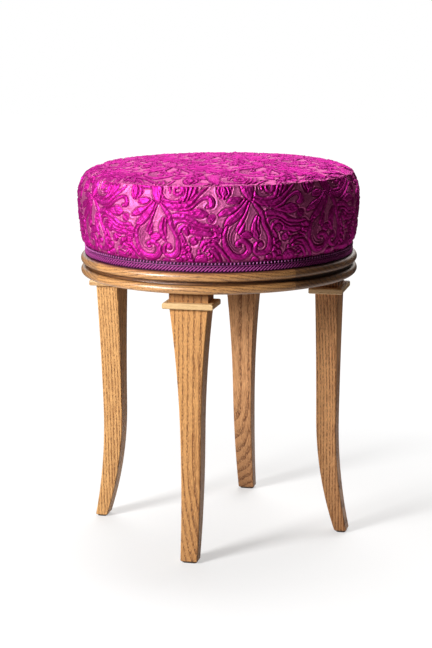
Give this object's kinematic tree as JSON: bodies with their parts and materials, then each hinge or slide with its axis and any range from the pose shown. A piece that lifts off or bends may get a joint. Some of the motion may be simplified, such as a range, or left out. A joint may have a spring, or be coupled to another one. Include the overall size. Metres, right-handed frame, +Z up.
{
  "type": "padded stool",
  "caption": "Round dressing stool: a stuffed brocade seat edged with braid on a double-beaded oak ring, carried by tapered sabre legs with square collars.",
  "frame": {"origin": "centre of the stool at floor level, under the seat's axis", "axes": "+Z up along the seat's axis; one leg points along each of +X, +Y, -X and -Y"},
  "size_m": [0.3547, 0.3548, 0.477],
  "materials": {
    "oak": "polished honey oak, open pores",
    "beech": "bare beech",
    "felt": "dark pressed felt",
    "jute": "plain woven jute webbing",
    "hessian": "open hessian weave",
    "stuffing": "fibre stuffing",
    "wadding": "soft wadding",
    "brocade": "embossed satin brocade",
    "gimp": "woven braid",
    "staple_wire": "galvanised wire"
  },
  "bodies": {
    "root": {"ring_segment_right": "oak", "leg_right": "oak", "felt_pad_right": "felt", "collar_outer_right": "oak", "collar_left_right": "oak", "collar_inner_right": "oak", "collar_right_right": "oak", "ring_segment_back": "oak", "leg_back": "oak", "felt_pad_back": "felt", "collar_outer_back": "oak", "collar_left_back": "oak", "collar_inner_back": "oak", "collar_right_back": "oak", "ring_segment_left": "oak", "leg_left": "oak", "felt_pad_left": "felt", "collar_outer_left": "oak", "collar_left_left": "oak", "collar_inner_left": "oak", "collar_right_left": "oak", "ring_segment_front": "oak", "leg_front": "oak", "felt_pad_front": "felt", "collar_outer_front": "oak", "collar_left_front": "oak", "collar_inner_front": "oak", "collar_right_front": "oak", "ring_dowels": "beech", "tenon_wedges": "beech", "webbing_across_1": "jute", "webbing_across_2": "jute", "webbing_across_3": "jute", "webbing_along_1": "jute", "webbing_along_2": "jute", "webbing_along_3": "jute", "webbing_staples": "staple_wire", "cover_staples": "staple_wire", "hessian": "hessian", "stuffing": "stuffing", "wadding": "wadding", "cover_top": "brocade", "cover_band": "brocade", "gimp": "gimp"}
  },
  "joints": []
}
